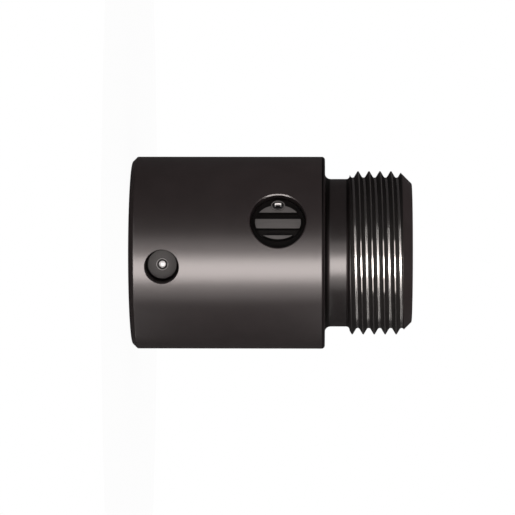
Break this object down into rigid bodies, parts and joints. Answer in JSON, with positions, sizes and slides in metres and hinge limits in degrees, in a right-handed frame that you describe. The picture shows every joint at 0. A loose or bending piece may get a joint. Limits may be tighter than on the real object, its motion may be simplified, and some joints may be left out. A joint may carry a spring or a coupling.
{
  "type": "ball screw nut",
  "caption": "Round ball screw nut in blackened steel with a threaded end, a runout neck, slotted ball return inserts and an oil port.",
  "frame": {"origin": "centre of the plain end's face, which the nut stands on", "axes": "+Z along the nut's axis towards the threaded end; -Y out through the oil port"},
  "size_m": [0.0175, 0.0175, 0.0254],
  "materials": {
    "nut_steel": "black oxide, satin",
    "insert_steel": "grey, matt",
    "ball_steel": "polished",
    "wiper_plastic": "moulded, matt",
    "oiler_steel": "blackened, matt",
    "spring_steel": "drawn wire"
  },
  "bodies": {
    "nut": {"nut_body": "nut_steel", "return_insert_1": "insert_steel", "return_insert_2": "insert_steel", "ball_1_01": "ball_steel", "ball_1_02": "ball_steel", "ball_1_03": "ball_steel", "ball_1_04": "ball_steel", "ball_1_05": "ball_steel", "ball_1_06": "ball_steel", "ball_1_07": "ball_steel", "ball_1_08": "ball_steel", "ball_1_09": "ball_steel", "ball_1_10": "ball_steel", "ball_1_11": "ball_steel", "ball_1_12": "ball_steel", "ball_2_01": "ball_steel", "ball_2_02": "ball_steel", "ball_2_03": "ball_steel", "ball_2_04": "ball_steel", "ball_2_05": "ball_steel", "ball_2_06": "ball_steel", "ball_2_07": "ball_steel", "ball_2_08": "ball_steel", "ball_2_09": "ball_steel", "ball_2_10": "ball_steel", "ball_2_11": "ball_steel", "ball_2_12": "ball_steel", "plain_end_wiper": "wiper_plastic", "thread_end_wiper": "wiper_plastic", "oiler_body": "oiler_steel", "oiler_spring": "spring_steel"},
    "oiler_ball": {"oiler_ball": "ball_steel"}
  },
  "joints": [
    {"name": "oiler_press", "type": "slide", "parent": "nut", "child": "oiler_ball", "axis": [0, 1, 0], "range_m": [0, 0.00025], "stiffness_N_per_m": 50}
  ]
}
